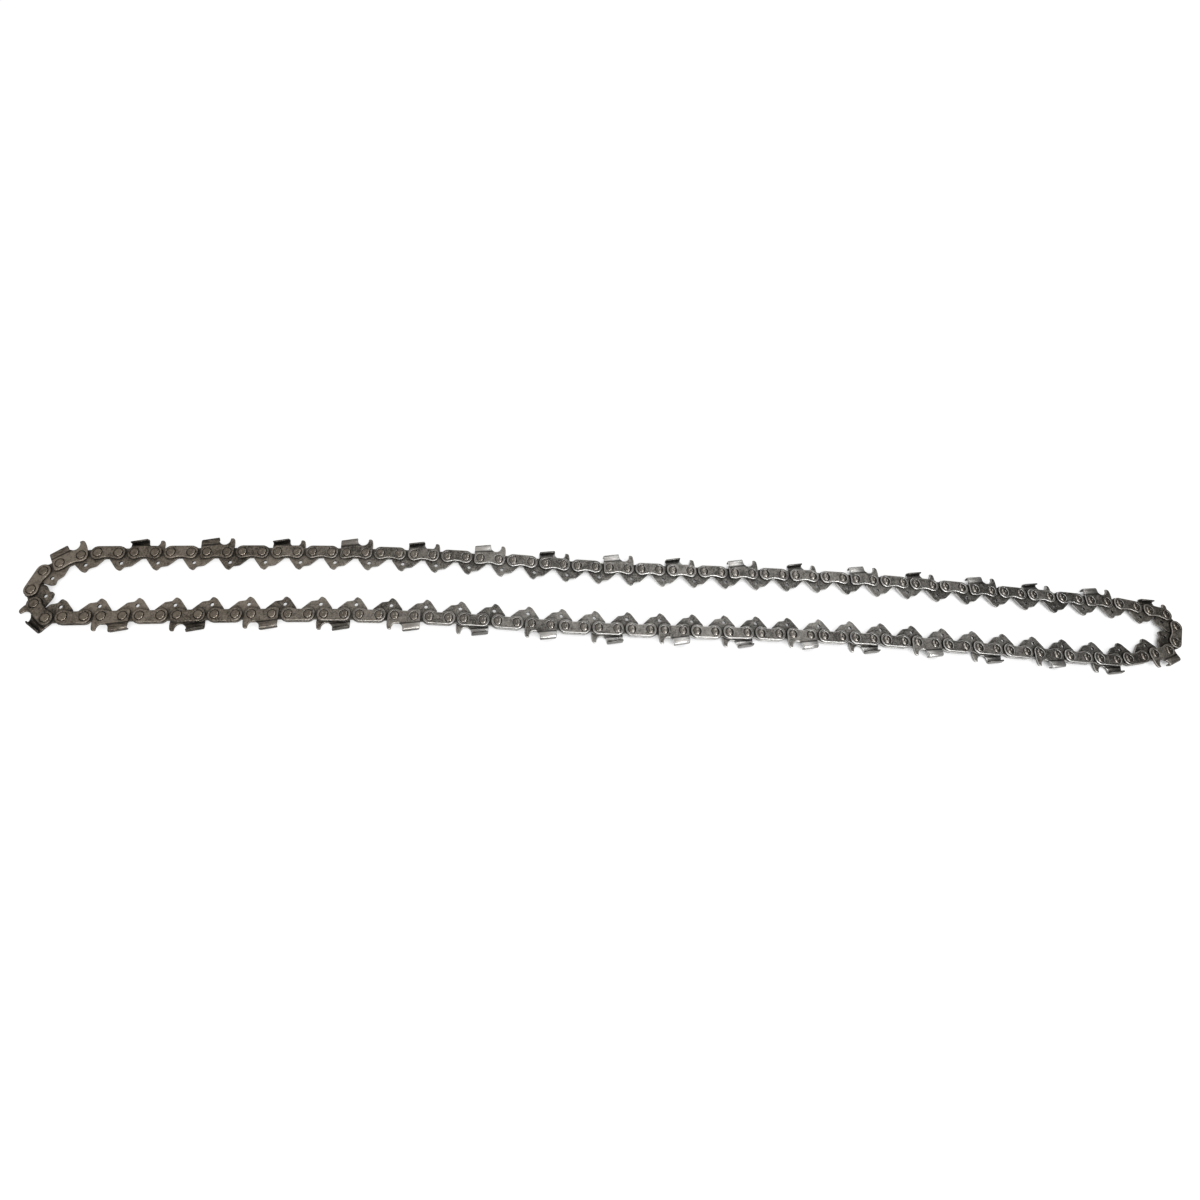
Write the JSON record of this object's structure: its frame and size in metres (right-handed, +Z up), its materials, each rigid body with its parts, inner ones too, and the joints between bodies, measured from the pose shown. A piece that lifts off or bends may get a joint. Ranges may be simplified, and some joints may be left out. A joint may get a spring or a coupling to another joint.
{
  "type": "chainsaw chain loop",
  "caption": "Closed loop of saw chain lying flat: drive links with pointed tangs, tie straps and hooked cutters with depth gauges, riveted together into a long narrow oval.",
  "frame": {"origin": "middle of the loop's bounding box, on the surface that it lies on", "axes": "+X along the loop's length towards its bluntly bent end, +Z up, out of the plane of the loop"},
  "size_m": [0.677, 0.0642, 0.006],
  "materials": {
    "drive_link_steel": "dark oiled steel with bright worn edges",
    "strap_steel": "dark oiled satin steel",
    "cutter_steel": "dark satin steel with plated, brighter top plates",
    "rivet_steel": "dark satin steel"
  },
  "bodies": {
    "lower_run": {"lower_run_drive_links": "drive_link_steel", "lower_run_far_straps": "strap_steel", "lower_run_left_cutters": "cutter_steel", "lower_run_near_straps": "strap_steel", "lower_run_pivot_rivets": "rivet_steel", "lower_run_right_cutters": "cutter_steel"},
    "left_end": {"left_end_drive_links": "drive_link_steel", "left_end_far_straps": "strap_steel", "left_end_left_cutters": "cutter_steel", "left_end_near_straps": "strap_steel", "left_end_right_cutters": "cutter_steel"},
    "upper_run": {"upper_run_drive_links": "drive_link_steel", "upper_run_far_straps": "strap_steel", "upper_run_left_cutters": "cutter_steel", "upper_run_near_straps": "strap_steel", "upper_run_pivot_rivets": "rivet_steel", "upper_run_right_cutters": "cutter_steel"},
    "right_end": {"right_end_drive_links": "drive_link_steel", "right_end_far_straps": "strap_steel", "right_end_left_cutters": "cutter_steel", "right_end_near_straps": "strap_steel", "right_end_right_cutters": "cutter_steel"}
  },
  "joints": [
    {"name": "left_end_swing", "type": "hinge", "parent": "lower_run", "child": "left_end", "pos_m": [-0.31482, -0.01878, 0.003], "axis": [0, 0, 1], "range_deg": [-20, 20]},
    {"name": "upper_run_shift", "type": "hinge", "parent": "left_end", "child": "upper_run", "pos_m": [-0.3072, 0.01684, 0.003], "axis": [0, 0, 1], "range_deg": [-20, 20]},
    {"name": "right_end_swing", "type": "hinge", "parent": "lower_run", "child": "right_end", "pos_m": [0.28597, -0.02393, 0.003], "axis": [0, 0, 1], "range_deg": [-20, 20]}
  ],
  "couplings": [
    {"joint": "upper_run_shift", "follows": "left_end_swing", "ratio": -1},
    {"joint": "right_end_swing", "follows": "left_end_swing", "ratio": 1}
  ]
}
